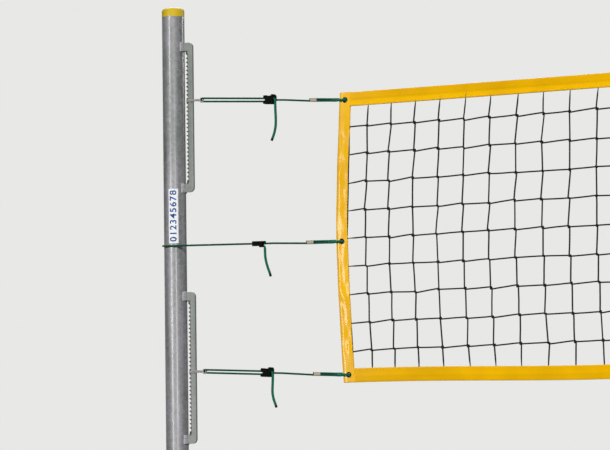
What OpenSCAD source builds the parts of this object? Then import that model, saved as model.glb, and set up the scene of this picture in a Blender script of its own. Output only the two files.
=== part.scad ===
/* [Net] */
// Length of the net between the corners of its side tapes
net_length = 8500; // [7000:100:9500]
// Height of the net over both edge tapes
net_height = 1045; // [1000:5:1080]
// Height of the net's top edge above the court
net_top = 2240; // [2220:1:2250]
// Distance from a post's axis to the net's corner
net_gap = 667; // [640:1:720]
// Depth of the bow that the middle cord pulls into the side tape
side_bow = 22; // [5:1:26]
// Thickness of the knotted twine
twine = 3; // [2:0.1:3.2]
// Number of gaps along the net
gap_columns = 50; // [30:1:50]
// Number of gaps from bottom to top
gap_rows = 6; // [3:1:6]

/* [Tapes] */
// Width of the top and bottom tapes
edge_tape = 50; // [44:1:60]
// Width of the side tapes
side_tape_w = 44; // [40:1:60]
// Thickness of the coated tape cloth
cloth = 0.9; // [0.6:0.1:1.2]

/* [Eyelets] */
// Distance from the tape's edge to an eyelet's centre
eyelet_inset = 23; // [20:1:24]
// Bore of an eyelet
eyelet_bore = 12; // [11:0.5:13]
// Width of an eyelet's flange
flange = 4; // [3:0.5:5]
// Distance from the net's top edge down to the upper eyelet
upper_eyelet_drop = 27; // [22:1:32]
// Height of the middle eyelet below the net's middle
middle_eyelet_drop = 11; // [0:1:20]
// Distance from the net's bottom edge up to the lower eyelet
lower_eyelet_rise = 36; // [20:1:38]

/* [Posts] */
// Outer diameter of a post
post_d = 82.5; // [76:0.5:90]
// Wall of a post
post_wall = 3.2; // [2:0.1:5]
// Height of the tube's upper end above the court
post_top = 2565; // [2520:5:2650]
// Depth of a post below the court
post_depth = 450; // [300:10:600]
// Height of the cap's head
cap_h = 30; // [20:1:45]
// Rounding of the cap's upper edge
cap_round = 9; // [3:1:15]
// Length of the cap's plug inside the tube
cap_plug = 28; // [15:1:60]

/* [Ground sleeves] */
// Wall of a ground sleeve
sleeve_wall = 4; // [3:0.5:6]
// Clearance all round the post in its sleeve
sleeve_clear = 0.5; // [0.3:0.1:0.9]
// Thickness of a sleeve's floor
sleeve_floor = 8; // [5:1:12]
// Drain hole in the floor
drain_d = 25; // [10:1:40]

/* [Rails] */
// Length of a notched rail
rail_length = 550; // [550:5:580]
// Thickness of a rail
rail_t = 8; // [6:0.5:10]
// Height of each leg that is welded to the post
rail_leg = 30; // [20:1:32]
// Opening between the post and the teeth
slot_w = 11; // [10.5:0.5:14]
// Depth of the notches
notch_depth = 6; // [5:0.5:6.5]
// Solid width of the bar behind the notches
bar_w = 22; // [18:1:26]
// Distance from notch to notch
notch_pitch = 15; // [15:0.1:15.5]
// Number of notches in a rail
notch_count = 31; // [20:1:31]
// Radius of a notch
notch_r = 6.5; // [6:0.1:7]
// Rounding of a rail's outer corners
rail_corner = 17; // [8:1:20]
// Rounding of the slot's inner corners
slot_corner = 8; // [4:1:10]
// Height of the upper rail's top end
upper_rail_top = 2467; // [2450:1:2480]
// Height of the lower rail's top end
lower_rail_top = 1552; // [1540:1:1565]
// Notch that holds the upper hook, counted down from 0
upper_notch = 11; // [9:1:13]
// Notch that holds the lower hook, counted down from 0
lower_notch = 16; // [14:1:18]

/* [Hooks] */
// Thickness of the hooks' steel wire
wire_d = 4.5; // [4:0.1:4.8]
// Length of the hook's neck between the rail and its double bend
hook_neck = 14; // [8:1:18]
// Radius of the eye, to the middle of the wire
eye_r = 7.5; // [7.4:0.1:8.2]
// Radius of the double bend beside the eye
jog_r = 6; // [5:0.5:8]
// Radius of the hook's two bends behind the teeth
bend_r = 4.5; // [4.2:0.1:5]
// Clearance between the wire and the rail
hook_clear = 0.9; // [0.9:0.05:1.2]
// Length of the hook's free leg behind the rail
free_leg = 10; // [5:1:14]

/* [Cords] */
// Thickness of the tension cords
cord_d = 5.5; // [5:0.1:5.6]
// Distance of the two strands at a tensioner
strand_gap = 12.5; // [12.3:0.1:13.5]
// Height of the middle cord's loop round the post
middle_loop_z = 1724; // [1690:1:1760]
// Lean of the middle loop, front down
loop_lean = 5; // [0:1:6]
// Length of a crimped ferrule
ferrule_l = 25; // [15:1:35]
// Wall of a ferrule
ferrule_wall = 1.2; // [0.8:0.1:2]
// Distance from an eyelet to its ferrule
ferrule_reach = 112; // [90:1:140]

/* [Tensioners] */
// Length of a tensioner
block_l = 46; // [46:1:56]
// Thickness of a tensioner
block_t = 18; // [17:0.5:22]
// Height above the cords
block_up = 16; // [13:0.5:18]
// Height below the cords
block_down = 15; // [13:0.5:18]
// Height of the thumb ridge on top
ridge_h = 4; // [2:0.5:6]
// Depth of the fork between the two arms
fork = 8; // [5:0.5:10]
// Distance from the upper eyelet to its tensioner
upper_reach = 277; // [250:1:330]
// Distance from the middle eyelet to its tensioner
middle_reach = 305; // [250:1:330]
// Distance from the lower eyelet to its tensioner
lower_reach = 300; // [250:1:330]

/* [Hidden] */
$fn = 48;
fit = 0.3;
seat = 0.2;
smooth = 32;

// Places that follow from the sizes above
net_bottom = net_top - net_height;
net_middle = (net_top + net_bottom) / 2;
post_spacing = net_length + 2 * net_gap;
post_r = post_d / 2;
bore_r = post_r - post_wall;
tip_x = post_r + slot_w;
valley_x = tip_x + notch_depth;
rail_x = valley_x + bar_w;
slot_len = rail_length - 2 * rail_leg;
notch_margin = (slot_len - notch_count * notch_pitch) / 2;
first_notch = rail_leg + notch_margin + notch_pitch / 2;
upper_hook_z = upper_rail_top - first_notch - upper_notch * notch_pitch;
lower_hook_z = lower_rail_top - first_notch - lower_notch * notch_pitch;

// A hook is bent from doubled wire, wraps round the rail and ends in an eye on
// the rail's middle plane
wire_r = wire_d / 2;
wire_side = wire_r - 0.15;
leg_y = rail_t / 2 + hook_clear + wire_r;
back_x = valley_x - hook_clear - wire_r;
shank_x = rail_x + hook_neck;
jog_angle = acos(1 - leg_y / (2 * jog_r));
jog_x = shank_x + 2 * jog_r * sin(jog_angle);
eye_x = jog_x + eye_r + 1;

// A cord's bight stands askew in the eye, clear of the wire all round
cord_r = cord_d / 2;
bight_r = 8;
bight_lift = 0.65;
bight_side = sqrt(1 - bight_lift * bight_lift);
bight_x = eye_x + 6.5;
strand = strand_gap / 2;
strand_end = block_l - 6;
single_start = block_l - 5;

// Straight cord beyond a tensioner, on which it slides
slide_room = 36;

// Half thicknesses of the tapes, from the netting outwards
edge_in = twine / 2 + seat;
edge_out = edge_in + cloth;
side_in = edge_out + fit;
side_out = side_in + cloth;

eyelet_r = eyelet_bore / 2;
barrel_r = eyelet_r + 0.7;
flange_t = 0.8;
eyelet_half = side_out + seat + flange_t;
tape_hole_r = barrel_r + seat;
loop_r = eyelet_half + fit + cord_r;
loop_over = 1.5;

function bowed(z) = net_gap - side_bow * (1 - pow(abs(z - net_middle) / (net_height / 2), 1.5));
upper_eyelet_z = net_top - upper_eyelet_drop;
middle_eyelet_z = net_middle - middle_eyelet_drop;
lower_eyelet_z = net_bottom + lower_eyelet_rise;
eyelet_heights = [upper_eyelet_z, middle_eyelet_z, lower_eyelet_z];

// Each rope: start, eyelet, distance from eyelet to tensioner, roll of the tensioner
upper_rope = [[bight_x, upper_hook_z], [bowed(upper_eyelet_z) + eyelet_inset, upper_eyelet_z], upper_reach, 0];
middle_rope = [
    [0, middle_loop_z],
    [bowed(middle_eyelet_z) + eyelet_inset, middle_eyelet_z],
    middle_reach,
    90 + loop_lean
];
lower_rope = [[bight_x, lower_hook_z], [bowed(lower_eyelet_z) + eyelet_inset, lower_eyelet_z], lower_reach, 0];
ropes = [upper_rope, middle_rope, lower_rope];

function rope_run(rope) = norm(rope[1] - rope[0]);
function rope_dip(rope) = atan2(rope[0].y - rope[1].y, rope[1].x - rope[0].x);
function block_x(rope) = rope_run(rope) - rope[2] - block_l;

// A point given along, across and above a rope, in the part's frame
function on_rope(rope, p) =
    let (a = rope_dip(rope))
    [rope[0].x + p.x * cos(a) + p.z * sin(a), p.y, rope[0].y - p.x * sin(a) + p.z * cos(a)];
function rolled(p, roll) = [p.x, p.y * cos(roll) - p.z * sin(roll), p.y * sin(roll) + p.z * cos(roll)];

// The tail leaves the tensioner from the wall of a recess in its side
recess_x = block_l - 16;
recess_wall = 4;
tail_start = [recess_x + 0.25, -recess_wall - cord_r - 0.25, 6];
function tail_from(rope) = on_rope(rope, rolled(tail_start, rope[3]) + [block_x(rope), 0, 0]);

// Routes of the free tails from where they leave their tensioners
upper_tail_route = [
    [0, 0, 0], [4, 0, 0], [8, 0, -0.8], [11.5, -0.2, -3], [14, -0.4, -6.5], [15, -0.6, -11],
    [15.3, -0.8, -20], [15.8, -1, -35], [16.8, -1.2, -52], [18, -1.4, -70], [18.6, -1.5, -86],
    [18.2, -1.4, -101], [16, -1.2, -115], [12, -1, -129], [7, -0.8, -143], [1, -0.5, -156]
];
middle_tail_route = [
    [0, 0, 0], [4, 0, 0], [8, 0, -0.8], [11.5, 0, -3], [14, 0, -6.5], [15, 0, -11],
    [15.2, -0.2, -22], [16, -0.5, -36], [18, -0.9, -49], [21.5, -1.3, -62], [26, -1.6, -75],
    [31, -1.8, -88], [36, -2, -101], [40, -2, -115]
];
lower_tail_route = [
    [0, 0, 0], [4, 0, 0], [8, 0, -0.8], [11.5, -0.2, -3], [14, -0.4, -6.5], [15, -0.6, -11],
    [15.4, -0.8, -25], [15.2, -1, -40], [14.8, -1.1, -55], [14.6, -1.2, -69], [15.6, -1.3, -82],
    [18.5, -1.4, -95], [22.5, -1.5, -108], [27, -1.5, -120], [31, -1.5, -132]
];

function unit(v) = v / norm(v);
function heading(p, i) =
    i == 0 ? unit(p[1] - p[0])
    : i == len(p) - 1 ? unit(p[i] - p[i - 1])
    : unit(unit(p[i] - p[i - 1]) + unit(p[i + 1] - p[i]));
function squared(n, t) = unit(n - (n * t) * t);
function side_vectors(p, i, n) =
    i == len(p) ? [] : let (m = squared(n, heading(p, i))) concat([m], side_vectors(p, i + 1, m));

// Sweeps a cord with flat sides along a list of points
module cord(p, sides = 8) {
    n = side_vectors(p, 0, abs(heading(p, 0).y) < 0.9 ? [0, 1, 0] : [0, 0, 1]);
    rings = [
        for (i = [0 : len(p) - 1])
        for (j = [0 : sides - 1])
        p[i] + cord_r * (cos((j + 0.5) * 360 / sides) * n[i] + sin((j + 0.5) * 360 / sides) * cross(heading(p, i), n[i]))
    ];
    walls = [
        for (i = [0 : len(p) - 2])
        for (j = [0 : sides - 1])
        let (a = i * sides + j, b = i * sides + (j + 1) % sides)
        each [[a, a + sides, b + sides], [a, b + sides, b]]
    ];
    first = [for (j = [0 : sides - 1]) j];
    last = [for (j = [sides - 1 : -1 : 0]) (len(p) - 1) * sides + j];
    polyhedron(points = rings, faces = concat([first], walls, [last]));
}

// Places its children at the left post as they are, or mirrored at the right post
module left() {
    children();
}

module right() {
    translate([post_spacing, 0, 0])
        mirror([1, 0, 0])
            children();
}

module along_rope(rope) {
    translate([rope[0].x, 0, rope[0].y])
        rotate([0, rope_dip(rope), 0])
            children();
}

module across(t) {
    rotate([90, 0, 0])
        linear_extrude(t, center = true)
            children();
}

module post_tube() {
    color("silver")
        translate([0, 0, -post_depth])
            difference() {
                cylinder(h = post_depth + post_top, r = post_r);
                translate([0, 0, -1])
                    cylinder(h = post_depth + post_top + 2, r = bore_r);
            }
}

// A plastic plug whose head is flush with the tube
module post_cap() {
    plug_r = bore_r - fit;
    color([0.84, 0.74, 0.2])
        translate([0, 0, post_top])
            difference() {
                rotate_extrude() {
                    square([post_r, cap_h - cap_round]);
                    square([post_r - cap_round, cap_h]);
                    intersection() {
                        translate([post_r - cap_round, cap_h - cap_round])
                            circle(cap_round);
                        square([post_r, cap_h]);
                    }
                    translate([0, -cap_plug])
                        square([plug_r, cap_plug]);
                }
                translate([0, 0, -cap_plug - 1])
                    cylinder(h = cap_plug + 1 + cap_h / 2, r = plug_r - 3);
            }
}

module ground_sleeve() {
    inner = post_r + sleeve_clear;
    color("gray")
        difference() {
            translate([0, 0, -post_depth - sleeve_floor])
                cylinder(h = post_depth + sleeve_floor, r = inner + sleeve_wall);
            translate([0, 0, -post_depth])
                cylinder(h = post_depth + 1, r = inner);
            translate([0, 0, -post_depth - sleeve_floor - 1])
                cylinder(h = sleeve_floor + 2, d = drain_d);
        }
}

// A rounded end on the outer side, shared by the rail and its slot
module half_rounded(x, len, r) {
    square([x - r, len]);
    translate([x - 2 * r, r])
        square([2 * r, len - 2 * r]);
    for (z = [r, len - r])
        translate([x - r, z])
            circle(r);
}

module rail(top) {
    color([0.5, 0.53, 0.51])
        translate([0, 0, top - rail_length])
            difference() {
                across(rail_t)
                    difference() {
                        half_rounded(rail_x, rail_length, rail_corner);
                        translate([0, rail_leg])
                            half_rounded(tip_x, slot_len, slot_corner);
                        for (i = [0 : notch_count - 1])
                            translate([valley_x - notch_r, rail_length - first_notch - i * notch_pitch])
                                circle(notch_r);
                    }
                cylinder(h = rail_length * 3, r = post_r + seat, center = true);
            }
}

module wire_pair() {
    for (s = [-1, 1])
        translate([0, s * wire_side])
            circle(wire_r);
}

module rod(from, length) {
    translate(from)
        rotate([90, 0, 90])
            linear_extrude(length)
                wire_pair();
}

module bend(centre, r, start, angle) {
    translate(centre)
        rotate([0, 0, start])
            rotate_extrude(angle = angle)
                translate([r, 0])
                    wire_pair();
}

// Hook of doubled wire: free leg, wrap through the slot, shank, double bend and
// closed eye
module hook(z) {
    color("lightgray")
        translate([0, 0, z]) {
            for (s = [-1, 1])
                translate([back_x + bend_r + free_leg, leg_y, s * wire_side])
                    sphere(wire_r);
            rod([back_x + bend_r, leg_y, 0], free_leg);
            bend([back_x + bend_r, leg_y - bend_r, 0], bend_r, 90, 90);
            translate([back_x, 0, 0])
                rotate([90, 0, 0])
                    linear_extrude(2 * (leg_y - bend_r), center = true)
                        wire_pair();
            bend([back_x + bend_r, bend_r - leg_y, 0], bend_r, 180, 90);
            rod([back_x + bend_r, -leg_y, 0], shank_x - back_x - bend_r);
            bend([shank_x, jog_r - leg_y, 0], jog_r, -90, jog_angle);
            bend([jog_x, -jog_r, 0], jog_r, 90, jog_angle);
            for (s = [-1, 1])
                translate([(shank_x + jog_x) / 2, -leg_y / 2, s * wire_side])
                    sphere(wire_r + 0.1);
            rod([jog_x, 0, 0], 1);
            translate([eye_x, 0, 0])
                rotate([90, 0, 0])
                    rotate_extrude()
                        translate([eye_r, 0])
                            circle(wire_r);
        }
}

// Two strands from the tensioner to the hook's eye, with the bight through it
module hook_loop(rope) {
    near = block_x(rope) - 4;
    far = block_x(rope) + strand_end;
    bight = [
        for (f = [90 : -15 : -90])
        bight_r * [-cos(f), -bight_side * sin(f), bight_lift * sin(f)]
    ];
    color([0.06, 0.42, 0.3])
        along_rope(rope)
            cord(concat([[far, 0, strand], [near, 0, strand]], bight, [[near, 0, -strand], [far, 0, -strand]]));
}

// Two strands from the tensioner and a loop that passes round the post
module post_loop(rope) {
    ring_r = post_r + 0.5 + cord_r;
    near = block_x(rope) - 4;
    far = block_x(rope) + strand_end;
    touch = atan2(strand, near) + acos(ring_r / norm([near, strand]));
    turn = 360 - 2 * touch;
    ring = [
        for (i = [0 : 20])
        ring_r * [cos(touch + turn * i / 20), 0, sin(touch + turn * i / 20)]
    ];
    color([0.06, 0.42, 0.3])
        along_rope(rope)
            rotate([rope[3], 0, 0])
                cord(concat([[far, 0, strand], [near, 0, strand]], ring, [[near, 0, -strand], [far, 0, -strand]]));
}

// One strand from the tensioner through the ferrule and the eyelet, and back
module net_cord(rope) {
    run = rope_run(rope);
    first = run - ferrule_reach - ferrule_l;
    last = run - ferrule_reach;
    stack = cord_r + fit / 2;
    centre = run + loop_over - loop_r;
    bight = [for (f = [-90 : 15 : 90]) [centre + loop_r * cos(f), loop_r * sin(f), 0]];
    color([0.06, 0.42, 0.3])
        along_rope(rope)
            cord(concat(
                [[block_x(rope) + single_start, 0, 0], [block_x(rope) + block_l + slide_room, 0, 0]],
                [[first, 0, -stack], [last, 0, -stack]],
                [[run - 58, -0.7 * loop_r, -0.75 * stack], [run - 32, -loop_r, -0.2 * stack]],
                bight,
                [[run - 32, loop_r, 0.2 * stack], [run - 58, 0.7 * loop_r, 0.75 * stack]],
                [[last, 0, stack], [first - 4, 0, stack]]
            ));
}

module tail(rope, route) {
    color([0.1, 0.5, 0.36])
        translate(tail_from(rope))
            cord(route);
}

module stadium(r, half) {
    square([2 * r, 2 * half], center = true);
    for (s = [-1, 1])
        translate([0, s * half])
            circle(r);
}

// Oval sleeves crimped over the two strands, one at each height
module ferrules() {
    hole_r = cord_r + 0.1;
    stack = cord_r + fit / 2;
    color([0.7, 0.66, 0.6])
        for (rope = ropes)
            along_rope(rope)
                translate([rope_run(rope) - ferrule_reach - ferrule_l, 0, 0])
                    rotate([90, 0, 90])
                        linear_extrude(ferrule_l)
                            difference() {
                                stadium(hole_r + ferrule_wall, stack);
                                stadium(hole_r, stack);
                            }
}

// Outline of a tensioner seen from its broad side
module block_outline() {
    r = 3;
    ridge_x = block_l - 16;
    difference() {
        union() {
            translate([r, -block_down])
                square([block_l - 2 * r, block_down + block_up]);
            translate([0, r - block_down])
                square([block_l, block_down + block_up - 2 * r]);
            for (x = [r, block_l - r])
                for (z = [r - block_down, block_up - r])
                    translate([x, z])
                        circle(r);
            translate([ridge_x, 0])
                square([14, block_up + ridge_h - r]);
            translate([ridge_x + r, 0])
                square([14 - 2 * r, block_up + ridge_h]);
            for (x = [ridge_x + r, ridge_x + 14 - r])
                translate([x, block_up + ridge_h - r])
                    circle(r);
        }
        polygon([[-1, strand + 3], [fork, 0], [-1, -strand - 3]]);
        translate([fork + 13, block_up + 10])
            circle(12);
        polygon([[block_l + 1, -block_down + 9], [block_l + 1, -block_down - 1], [block_l - 9, -block_down - 1]]);
    }
}

// Forked plastic cleat: a long chamber for the strands, a hole for the single
// cord at the far end, and a recess where the tail turns down
module tensioner(rope) {
    hole_r = cord_r + fit;
    color([0.07, 0.08, 0.08])
        along_rope(rope)
            translate([block_x(rope), 0, 0])
                rotate([rope[3], 0, 0])
                    difference() {
                        across(block_t)
                            block_outline();
                        translate([-1, 0, 0])
                            rotate([90, 0, 90])
                                linear_extrude(block_l - 2)
                                    stadium(hole_r, strand);
                        translate([-1, 0, 0])
                            rotate([0, 90, 0])
                                cylinder(h = block_l + 2, r = hole_r);
                        translate([recess_x, -block_t / 2 - 1, -block_down - 1])
                            cube([block_l, block_t / 2 + 1 - recess_wall, block_down + 1 + 9.4]);
                    }
}

module eyelet_holes() {
    for (z = eyelet_heights)
        translate([bowed(z) + eyelet_inset, z])
            circle(tape_hole_r);
}

// Cloth folded over the net's side edge and over the ends of the edge tapes
module side_tape() {
    steps = 24;
    edge = [for (i = [0 : steps]) net_bottom + net_height * i / steps];
    color([0.95, 0.69, 0.02])
        difference() {
            across(2 * side_out)
                difference() {
                    polygon(concat(
                        [for (z = edge) [bowed(z), z]],
                        [for (i = [steps : -1 : 0]) [bowed(edge[i]) + side_tape_w, edge[i]]]
                    ));
                    eyelet_holes();
                }
            across(2 * side_in)
                polygon(concat(
                    [for (z = edge) [bowed(z) + cloth, z + (z == net_bottom ? -1 : 0)]],
                    [[bowed(net_top) + cloth, net_top + 1], [net_gap + 2 * side_tape_w, net_top + 1]],
                    [[net_gap + 2 * side_tape_w, net_bottom - 1]]
                ));
        }
}

module eyelets() {
    color([0.2, 0.22, 0.2])
        for (z = eyelet_heights)
            translate([bowed(z) + eyelet_inset, 0, z])
                rotate([90, 0, 0])
                    rotate_extrude() {
                        translate([eyelet_r, -eyelet_half])
                            square([barrel_r - eyelet_r, 2 * eyelet_half]);
                        for (y = [-eyelet_half, eyelet_half - flange_t])
                            translate([eyelet_r, y])
                                square([flange, flange_t]);
                    }
}

// Cross-section of an edge tape, folded side up
module folded(w) {
    difference() {
        union() {
            translate([-edge_out, 0])
                square([2 * edge_out, w - edge_out]);
            translate([0, w - edge_out])
                circle(edge_out);
        }
        translate([-edge_in, -1])
            square([2 * edge_in, w - edge_out + 1]);
        translate([0, w - edge_out])
            circle(edge_in);
    }
}

module edge_tape_at(z, turn) {
    tuck = net_gap + 6;
    color([0.94, 0.68, 0.01])
        difference() {
            translate([tuck, 0, z])
                rotate([90, 0, 90])
                    linear_extrude(post_spacing - 2 * tuck)
                        rotate(turn)
                            folded(edge_tape);
            across(20)
                eyelet_holes();
            right()
                across(20)
                    eyelet_holes();
        }
}

module top_tape() {
    edge_tape_at(net_top - edge_tape, 0);
}

module bottom_tape() {
    edge_tape_at(net_bottom + edge_tape, 180);
}

// Square-meshed twine with a doubled border that lies inside the tapes
module netting() {
    inset = 10;
    edge_inset = 6;
    border = 2 * twine;
    x0 = net_gap + inset;
    long = post_spacing - 2 * x0;
    high = net_height - 2 * edge_inset;
    gap_x = (long - 2 * border - (gap_columns - 1) * twine) / gap_columns;
    gap_z = (high - 2 * border - (gap_rows - 1) * twine) / gap_rows;
    color([0.1, 0.1, 0.11])
        difference() {
            across(twine)
                difference() {
                    translate([x0, net_bottom + edge_inset])
                        square([long, high]);
                    for (i = [0 : gap_columns - 1])
                        for (j = [0 : gap_rows - 1])
                            translate([
                                x0 + border + i * (gap_x + twine),
                                net_bottom + edge_inset + border + j * (gap_z + twine)
                            ])
                                square([gap_x, gap_z]);
                }
            across(20)
                eyelet_holes();
            right()
                across(20)
                    eyelet_holes();
        }
}

left() post_tube();  // left_post_tube
left() post_cap();  // left_post_cap
left() ground_sleeve();  // left_ground_sleeve
left() rail(upper_rail_top);  // left_upper_rail
left() rail(lower_rail_top);  // left_lower_rail
left() hook(upper_hook_z);  // left_upper_hook
left() hook(lower_hook_z);  // left_lower_hook
left() hook_loop(upper_rope);  // left_upper_hook_loop
left() hook_loop(lower_rope);  // left_lower_hook_loop
left() post_loop(middle_rope);  // left_middle_post_loop
left() tensioner(upper_rope);  // left_upper_tensioner
left() tensioner(middle_rope);  // left_middle_tensioner
left() tensioner(lower_rope);  // left_lower_tensioner
left() tail(upper_rope, upper_tail_route);  // left_upper_tail
left() tail(middle_rope, middle_tail_route);  // left_middle_tail
left() tail(lower_rope, lower_tail_route);  // left_lower_tail
left() net_cord(upper_rope);  // left_upper_net_cord
left() net_cord(middle_rope);  // left_middle_net_cord
left() net_cord(lower_rope);  // left_lower_net_cord
left() ferrules();  // left_ferrules
left() side_tape();  // left_side_tape
left() eyelets();  // left_eyelets
right() post_tube();  // right_post_tube
right() post_cap();  // right_post_cap
right() ground_sleeve();  // right_ground_sleeve
right() rail(upper_rail_top);  // right_upper_rail
right() rail(lower_rail_top);  // right_lower_rail
right() hook(upper_hook_z);  // right_upper_hook
right() hook(lower_hook_z);  // right_lower_hook
right() hook_loop(upper_rope);  // right_upper_hook_loop
right() hook_loop(lower_rope);  // right_lower_hook_loop
right() post_loop(middle_rope);  // right_middle_post_loop
right() tensioner(upper_rope);  // right_upper_tensioner
right() tensioner(middle_rope);  // right_middle_tensioner
right() tensioner(lower_rope);  // right_lower_tensioner
right() tail(upper_rope, upper_tail_route);  // right_upper_tail
right() tail(middle_rope, middle_tail_route);  // right_middle_tail
right() tail(lower_rope, lower_tail_route);  // right_lower_tail
right() net_cord(upper_rope);  // right_upper_net_cord
right() net_cord(middle_rope);  // right_middle_net_cord
right() net_cord(lower_rope);  // right_lower_net_cord
right() ferrules();  // right_ferrules
right() side_tape();  // right_side_tape
right() eyelets();  // right_eyelets
top_tape();
bottom_tape();
netting();
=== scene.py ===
import math

import bmesh
import bpy
from mathutils import Matrix, Vector, noise


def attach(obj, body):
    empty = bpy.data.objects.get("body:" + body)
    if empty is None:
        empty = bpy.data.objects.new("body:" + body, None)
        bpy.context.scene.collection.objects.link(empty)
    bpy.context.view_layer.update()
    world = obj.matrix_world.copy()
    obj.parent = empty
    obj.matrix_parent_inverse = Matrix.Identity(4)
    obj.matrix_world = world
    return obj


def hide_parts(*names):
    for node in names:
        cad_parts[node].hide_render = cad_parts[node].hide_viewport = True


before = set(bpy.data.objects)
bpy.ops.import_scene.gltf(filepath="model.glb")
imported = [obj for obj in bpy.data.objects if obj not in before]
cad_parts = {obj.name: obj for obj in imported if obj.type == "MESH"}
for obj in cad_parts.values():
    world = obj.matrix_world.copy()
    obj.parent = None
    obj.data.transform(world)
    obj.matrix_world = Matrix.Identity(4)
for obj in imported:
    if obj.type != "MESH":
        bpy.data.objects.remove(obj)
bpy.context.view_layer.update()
print("frame loaded")

# Sizes of the net and its posts, in metres, as in the part's own source
net = {"length": 8.5, "height": 1.045, "top": 2.24, "gap": 0.667, "bow": 0.022, "eyeletInset": 0.023}
net["bottom"] = net["top"] - net["height"]
net["middle"] = (net["top"] + net["bottom"]) / 2
postSpacing = net["length"] + 2 * net["gap"]
postRadius = 0.04125


def bowed(z):
    t = abs(z - net["middle"]) / (net["height"] / 2)
    return net["gap"] - net["bow"] * (1 - min(t, 1) ** 1.5)


sagSet = {"up": 0.0084, "down": 0.0185, "over": 1.0}  # the bottom tape hangs lower away from its corners


def bottomLift(x):
    t = min(1, max(0, min(x, postSpacing - x) - net["gap"]) / sagSet["over"])
    return sagSet["up"] - sagSet["down"] * (1 - (1 - t * t) ** 2)


def clamped(share):
    return min(1, max(0, share))


def onSide(side, points):
    if side == "left":
        return points
    return [Vector((postSpacing - p.x, p.y, p.z)) for p in points]


def linked(name, data):
    thing = bpy.data.objects.new(name, data)
    bpy.context.scene.collection.objects.link(thing)
    return thing


def settled(thing):
    bpy.context.view_layer.update()
    return bpy.data.meshes.new_from_object(thing.evaluated_get(bpy.context.evaluated_depsgraph_get()))


cameraSet = {
    "spot": (5.4957, -10.6653, 0.6731), "turn": 25.0, "tilt": 5.339, "roll": -0.7943, "lens": 194.754,
}


def makeCamera(s):
    turn, tilt, roll = (math.radians(s[k]) for k in ("turn", "tilt", "roll"))
    ahead = Vector((-math.sin(turn) * math.cos(tilt), math.cos(turn) * math.cos(tilt), math.sin(tilt)))
    level = Vector((math.cos(turn), math.sin(turn), 0))
    lift = level.cross(ahead)
    across = level * math.cos(roll) + lift * math.sin(roll)
    upward = lift * math.cos(roll) - level * math.sin(roll)
    data = bpy.data.cameras.new("camera")
    data.sensor_fit = "HORIZONTAL"
    data.sensor_width = 36
    data.lens = s["lens"]
    data.clip_end = 200
    camera = linked("camera", data)
    turned = Matrix((across, upward, -ahead)).transposed().to_4x4()
    camera.matrix_world = Matrix.Translation(s["spot"]) @ turned
    bpy.context.scene.camera = camera


makeCamera(cameraSet)


# One socket of a node tree: sums written with it become Math nodes
class Wire:
    def __init__(self, bench, socket):
        self.bench = bench
        self.socket = socket

    def __add__(self, other):
        return self.bench.maths("ADD", self, other)

    def __sub__(self, other):
        return self.bench.maths("SUBTRACT", self, other)

    def __rsub__(self, other):
        return self.bench.maths("SUBTRACT", other, self)

    def __mul__(self, other):
        return self.bench.maths("MULTIPLY", self, other)

    def __truediv__(self, other):
        return self.bench.maths("DIVIDE", self, other)

    def __pow__(self, other):
        return self.bench.maths("POWER", self, other)

    def __neg__(self):
        return self * -1

    __radd__ = __add__
    __rmul__ = __mul__

    def other(self, name):
        return Wire(self.bench, self.socket.node.outputs[name])


# A node tree being built: add() makes any node, the rest are its short forms
class Bench:
    def __init__(self, tree):
        self.tree = tree

    def add(self, kind, settings=None, values=None, out=0):
        node = self.tree.nodes.new(kind)
        for name, setting in (settings or {}).items():
            if name == "stops":
                ramp = node.color_ramp.elements
                while len(ramp) < len(setting):
                    ramp.new(0.5)
                for stop, (place, colour) in zip(ramp, setting):
                    stop.position = place
                    stop.color = colour
            else:
                setattr(node, name, setting)
        for key, value in (values or {}).items():
            if isinstance(value, Wire):
                self.tree.links.new(value.socket, node.inputs[key])
            else:
                node.inputs[key].default_value = value
        return Wire(self, node.outputs[out] if len(node.outputs) else None)

    def maths(self, operation, *values):
        return self.add("ShaderNodeMath", {"operation": operation}, dict(enumerate(values)))

    def vector(self, operation, *values):
        return self.add("ShaderNodeVectorMath", {"operation": operation}, dict(enumerate(values)))

    def scaled(self, wire, size):
        return self.add("ShaderNodeVectorMath", {"operation": "SCALE"}, {0: wire, "Scale": size})

    def mixed(self, share, first, second):
        return self.add("ShaderNodeMix", {"data_type": "RGBA"}, {0: share, 6: first, 7: second}, 2)

    def noise(self, where, scale, detail=2.0, rough=0.5):
        values = {"Vector": where, "Scale": scale, "Detail": detail, "Roughness": rough}
        return self.add("ShaderNodeTexNoise", None, values)

    def within(self, value, low, high):
        values = {"Value": value, "From Min": low, "From Max": high}
        return self.add("ShaderNodeMapRange", {"interpolation_type": "SMOOTHSTEP"}, values)

    def parts(self, wire):
        x = self.add("ShaderNodeSeparateXYZ", None, {0: wire})
        return x, x.other("Y"), x.other("Z")

    def joined(self, x, y, z):
        return self.add("ShaderNodeCombineXYZ", None, {0: x, 1: y, 2: z})

    def bump(self, height, strength, distance):
        values = {"Height": height, "Strength": strength, "Distance": distance}
        return self.add("ShaderNodeBump", None, values)


def paint(red, green, blue):
    def straight(c):
        c /= 255
        return c / 12.92 if c <= 0.04045 else ((c + 0.055) / 1.055) ** 2.4

    return (straight(red), straight(green), straight(blue), 1)


def makeFinish(name, build):
    material = bpy.data.materials.new(name)
    material.use_nodes = True
    tree = material.node_tree
    tree.nodes.clear()
    bench = Bench(tree)
    where = bench.add("ShaderNodeTexCoord", out="Object")
    shader = bench.add("ShaderNodeBsdfPrincipled", None, build(bench, where))
    bench.add("ShaderNodeOutputMaterial", None, {"Surface": shader})
    return material


zincLook = {
    "dark": paint(82, 88, 80), "light": paint(150, 147, 155), "spangle": 95.0, "clouds": 7.0,
    "streaks": 55.0, "roughness": 0.22, "metal": 0.0, "level": 0.05, "haze": 0.46,
}


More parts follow.
